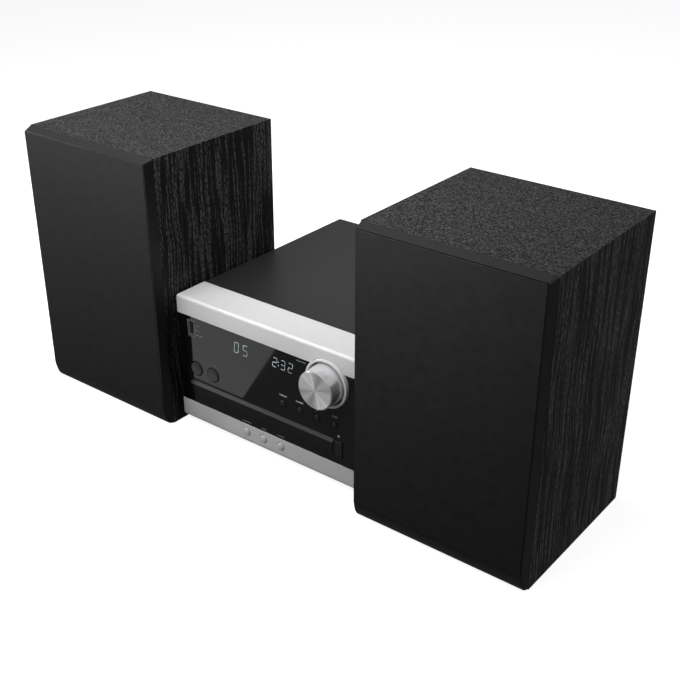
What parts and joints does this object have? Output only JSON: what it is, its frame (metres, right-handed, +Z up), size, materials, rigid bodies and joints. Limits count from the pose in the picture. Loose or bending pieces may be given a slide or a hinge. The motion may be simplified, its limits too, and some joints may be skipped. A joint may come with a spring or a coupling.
{
  "type": "mini hifi system",
  "caption": "Mini hifi system: a compact disc receiver with silver bands, glossy black window and volume knob, between bass-reflex speakers with cloth grilles.",
  "frame": {"origin": "bottom centre of the whole set, on the surface it stands on", "axes": "+Z up; the fronts face -Y; +X runs from the left speaker to the right speaker as seen from the front"},
  "size_m": [0.4696, 0.2338, 0.224],
  "materials": {
    "silver_paint": "satin silver paint on moulded plastic",
    "spun_aluminium": "spun, clear anodised",
    "black_acrylic": "clear-coated black acrylic",
    "black_moulding": "fine texture",
    "black_steel": "satin powder coat",
    "bare_steel": "zinc plated",
    "black_rubber": "moulded",
    "circuit_board": "solder mask",
    "display_glass": "smoked display glass",
    "copper_winding": "enamelled wire",
    "white_moulding": "natural moulding",
    "speaker_board": "black ash-grain vinyl on board",
    "grille_cloth": "knitted grille cloth",
    "cone_paper": "pressed paper cone"
  },
  "bodies": {
    "receiver": {"front_panel": "black_moulding", "top_trim": "silver_paint", "bottom_trim": "silver_paint", "display_window": "black_acrylic", "knob_ring": "silver_paint", "volume_encoder": "bare_steel", "front_board": "circuit_board", "display_module": "display_glass", "usb_socket": "bare_steel", "bottom_chassis": "bare_steel", "top_cover": "black_steel", "rear_panel": "black_steel", "foot_front_left": "black_rubber", "foot_front_right": "black_rubber", "foot_rear_left": "black_rubber", "foot_rear_right": "black_rubber", "board_shelf": "bare_steel", "main_board": "circuit_board", "power_board": "circuit_board", "transformer": "copper_winding", "heat_sink": "bare_steel", "mains_inlet": "black_moulding", "antenna_jack": "bare_steel", "speaker_sockets": "white_moulding", "loading_motor": "bare_steel", "loader_frame": "black_moulding", "traverse_base": "bare_steel", "guide_rod": "bare_steel", "spindle_motor": "bare_steel", "clamp_bridge": "bare_steel"},
    "tray": {"cd_tray": "black_moulding", "tray_door": "black_moulding"},
    "loading_gear": {"loading_gear": "white_moulding"},
    "volume_control": {"volume_knob": "spun_aluminium", "encoder_shaft": "bare_steel"},
    "pickup": {"laser_pickup": "black_moulding"},
    "turntable": {"turntable": "black_moulding"},
    "clamp": {"clamp_puck": "black_moulding"},
    "power_button": {"power_button": "black_moulding"},
    "selector_button": {"selector_button": "black_moulding"},
    "previous_button": {"previous_button": "black_moulding"},
    "next_button": {"next_button": "black_moulding"},
    "stop_button": {"stop_button": "black_moulding"},
    "play_button": {"play_button": "black_moulding"},
    "sound_button": {"sound_button": "silver_paint"},
    "bass_button": {"bass_button": "silver_paint"},
    "source_button": {"source_button": "silver_paint"},
    "eject_button": {"eject_button": "black_moulding"},
    "speaker_left": {"cabinet_left": "speaker_board", "grille_frame_left": "black_moulding", "grille_cloth_left": "grille_cloth", "port_panel_left": "black_moulding", "woofer_frame_left": "black_steel"},
    "cone_left": {"woofer_cone_left": "cone_paper"},
    "speaker_right": {"cabinet_right": "speaker_board", "grille_frame_right": "black_moulding", "grille_cloth_right": "grille_cloth", "port_panel_right": "black_moulding", "woofer_frame_right": "black_steel"},
    "cone_right": {"woofer_cone_right": "cone_paper"}
  },
  "joints": [
    {"name": "tray_slide", "type": "slide", "parent": "receiver", "child": "tray", "axis": [0, -1, 0], "range_m": [0, 0.138]},
    {"name": "loading_gear_spin", "type": "hinge", "parent": "receiver", "child": "loading_gear", "pos_m": [-0.0561, -0.06875, 0.02], "axis": [0, 0, 1], "range_deg": [0, 753.2]},
    {"name": "volume_turn", "type": "hinge", "parent": "receiver", "child": "volume_control", "pos_m": [0.0573, -0.09575, 0.0868], "axis": [0, 1, 0], "continuous": true},
    {"name": "pickup_slide", "type": "slide", "parent": "receiver", "child": "pickup", "axis": [0, 1, 0], "range_m": [0, 0.033]},
    {"name": "turntable_spin", "type": "hinge", "parent": "receiver", "child": "turntable", "pos_m": [-0.0106, -0.01775, 0.025], "axis": [0, 0, 1], "continuous": true},
    {"name": "clamp_spin", "type": "hinge", "parent": "receiver", "child": "clamp", "pos_m": [-0.0106, -0.01775, 0.044], "axis": [0, 0, 1], "continuous": true},
    {"name": "power_button_press", "type": "slide", "parent": "receiver", "child": "power_button", "axis": [0, 1, 0], "range_m": [0, 0.0006], "stiffness_N_per_m": 500},
    {"name": "selector_button_press", "type": "slide", "parent": "receiver", "child": "selector_button", "axis": [0, 1, 0], "range_m": [0, 0.0006], "stiffness_N_per_m": 500},
    {"name": "previous_button_press", "type": "slide", "parent": "receiver", "child": "previous_button", "axis": [0, 1, 0], "range_m": [0, 0.0006], "stiffness_N_per_m": 500},
    {"name": "next_button_press", "type": "slide", "parent": "receiver", "child": "next_button", "axis": [0, 1, 0], "range_m": [0, 0.0006], "stiffness_N_per_m": 500},
    {"name": "stop_button_press", "type": "slide", "parent": "receiver", "child": "stop_button", "axis": [0, 1, 0], "range_m": [0, 0.0006], "stiffness_N_per_m": 500},
    {"name": "play_button_press", "type": "slide", "parent": "receiver", "child": "play_button", "axis": [0, 1, 0], "range_m": [0, 0.0006], "stiffness_N_per_m": 500},
    {"name": "sound_button_press", "type": "slide", "parent": "receiver", "child": "sound_button", "axis": [0, 1, 0], "range_m": [0, 0.0006], "stiffness_N_per_m": 500},
    {"name": "bass_button_press", "type": "slide", "parent": "receiver", "child": "bass_button", "axis": [0, 1, 0], "range_m": [0, 0.0006], "stiffness_N_per_m": 500},
    {"name": "source_button_press", "type": "slide", "parent": "receiver", "child": "source_button", "axis": [0, 1, 0], "range_m": [0, 0.0006], "stiffness_N_per_m": 500},
    {"name": "eject_button_press", "type": "slide", "parent": "receiver", "child": "eject_button", "axis": [0, 1, 0], "range_m": [0, 0.0006], "stiffness_N_per_m": 500},
    {"name": "speaker_left_place", "type": "slide", "parent": "receiver", "child": "speaker_left", "axis": [-1, 0, 0], "range_m": [0, 0.3]},
    {"name": "cone_left_move", "type": "slide", "parent": "speaker_left", "child": "cone_left", "axis": [0, -1, 0], "range_m": [-0.002, 0.002], "stiffness_N_per_m": 1500},
    {"name": "speaker_right_place", "type": "slide", "parent": "receiver", "child": "speaker_right", "axis": [1, 0, 0], "range_m": [0, 0.3]},
    {"name": "cone_right_move", "type": "slide", "parent": "speaker_right", "child": "cone_right", "axis": [0, -1, 0], "range_m": [-0.002, 0.002], "stiffness_N_per_m": 1500}
  ],
  "couplings": [
    {"joint": "loading_gear_spin", "follows": "tray_slide", "rad_per_m": 95.238}
  ]
}
